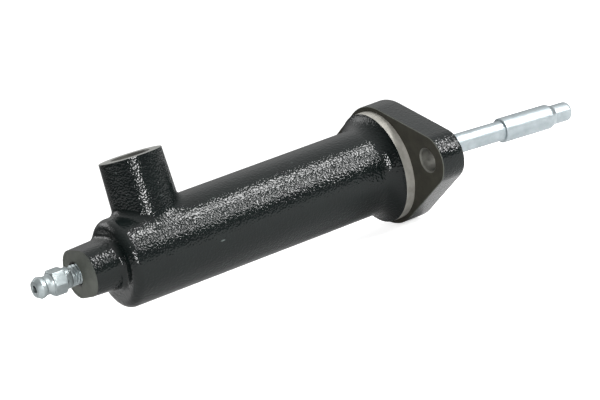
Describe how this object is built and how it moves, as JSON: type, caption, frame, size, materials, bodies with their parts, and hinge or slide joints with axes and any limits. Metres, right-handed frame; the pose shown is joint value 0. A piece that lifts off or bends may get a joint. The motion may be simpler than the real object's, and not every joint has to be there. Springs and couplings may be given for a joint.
{
  "type": "clutch slave cylinder",
  "caption": "Hydraulic clutch slave cylinder: cast barrel with a two-bolt flange, threaded fluid port, bleed screw and a push rod that swings in the piston.",
  "frame": {"origin": "on the bore axis, midway between the two bolt holes, in the machined mounting face of the flange", "axes": "+X along the bore towards the push rod, +Z towards the fluid port, +Y completes the right-handed frame and runs along the flange ears"},
  "size_m": [0.2415, 0.087, 0.0597],
  "materials": {
    "painted_casting": "pebbled gloss black paint on cast iron, bare where machined",
    "zinc_steel": "bright zinc plating, fine turning marks",
    "spring_steel": "drawn spring wire, satin",
    "piston_aluminium": "turned and anodised, satin",
    "seal_rubber": "moulded, satin",
    "black_oxide_steel": "black oxide, satin",
    "boot_rubber": "moulded, matt"
  },
  "bodies": {
    "housing": {"cylinder_body": "painted_casting", "stop_washer": "zinc_steel", "snap_ring": "black_oxide_steel", "return_spring": "spring_steel", "dust_boot": "boot_rubber"},
    "bleed_screw": {"bleed_screw": "zinc_steel"},
    "piston": {"piston": "piston_aluminium", "guide_seal": "seal_rubber", "pressure_cup": "seal_rubber", "spring_seat": "zinc_steel", "rod_clip": "spring_steel"},
    "push_rod": {"push_rod": "zinc_steel"}
  },
  "joints": [
    {"name": "piston_slide", "type": "slide", "parent": "housing", "child": "piston", "axis": [1, 0, 0], "range_m": [-0.008, 0], "stiffness_N_per_m": 300, "springref_m": 0.003, "deforming": ["return_spring", "dust_boot"]},
    {"name": "rod_swing", "type": "hinge", "parent": "piston", "child": "push_rod", "pos_m": [-0.0077, 0, 0], "axis": [0, 1, 0], "range_deg": [-6, 1]},
    {"name": "bleed_screw_turn", "type": "hinge", "parent": "housing", "child": "bleed_screw", "pos_m": [-0.1334, 0.0068, 0.0009], "axis": [-1, 0, 0], "range_deg": [0, 360]}
  ]
}
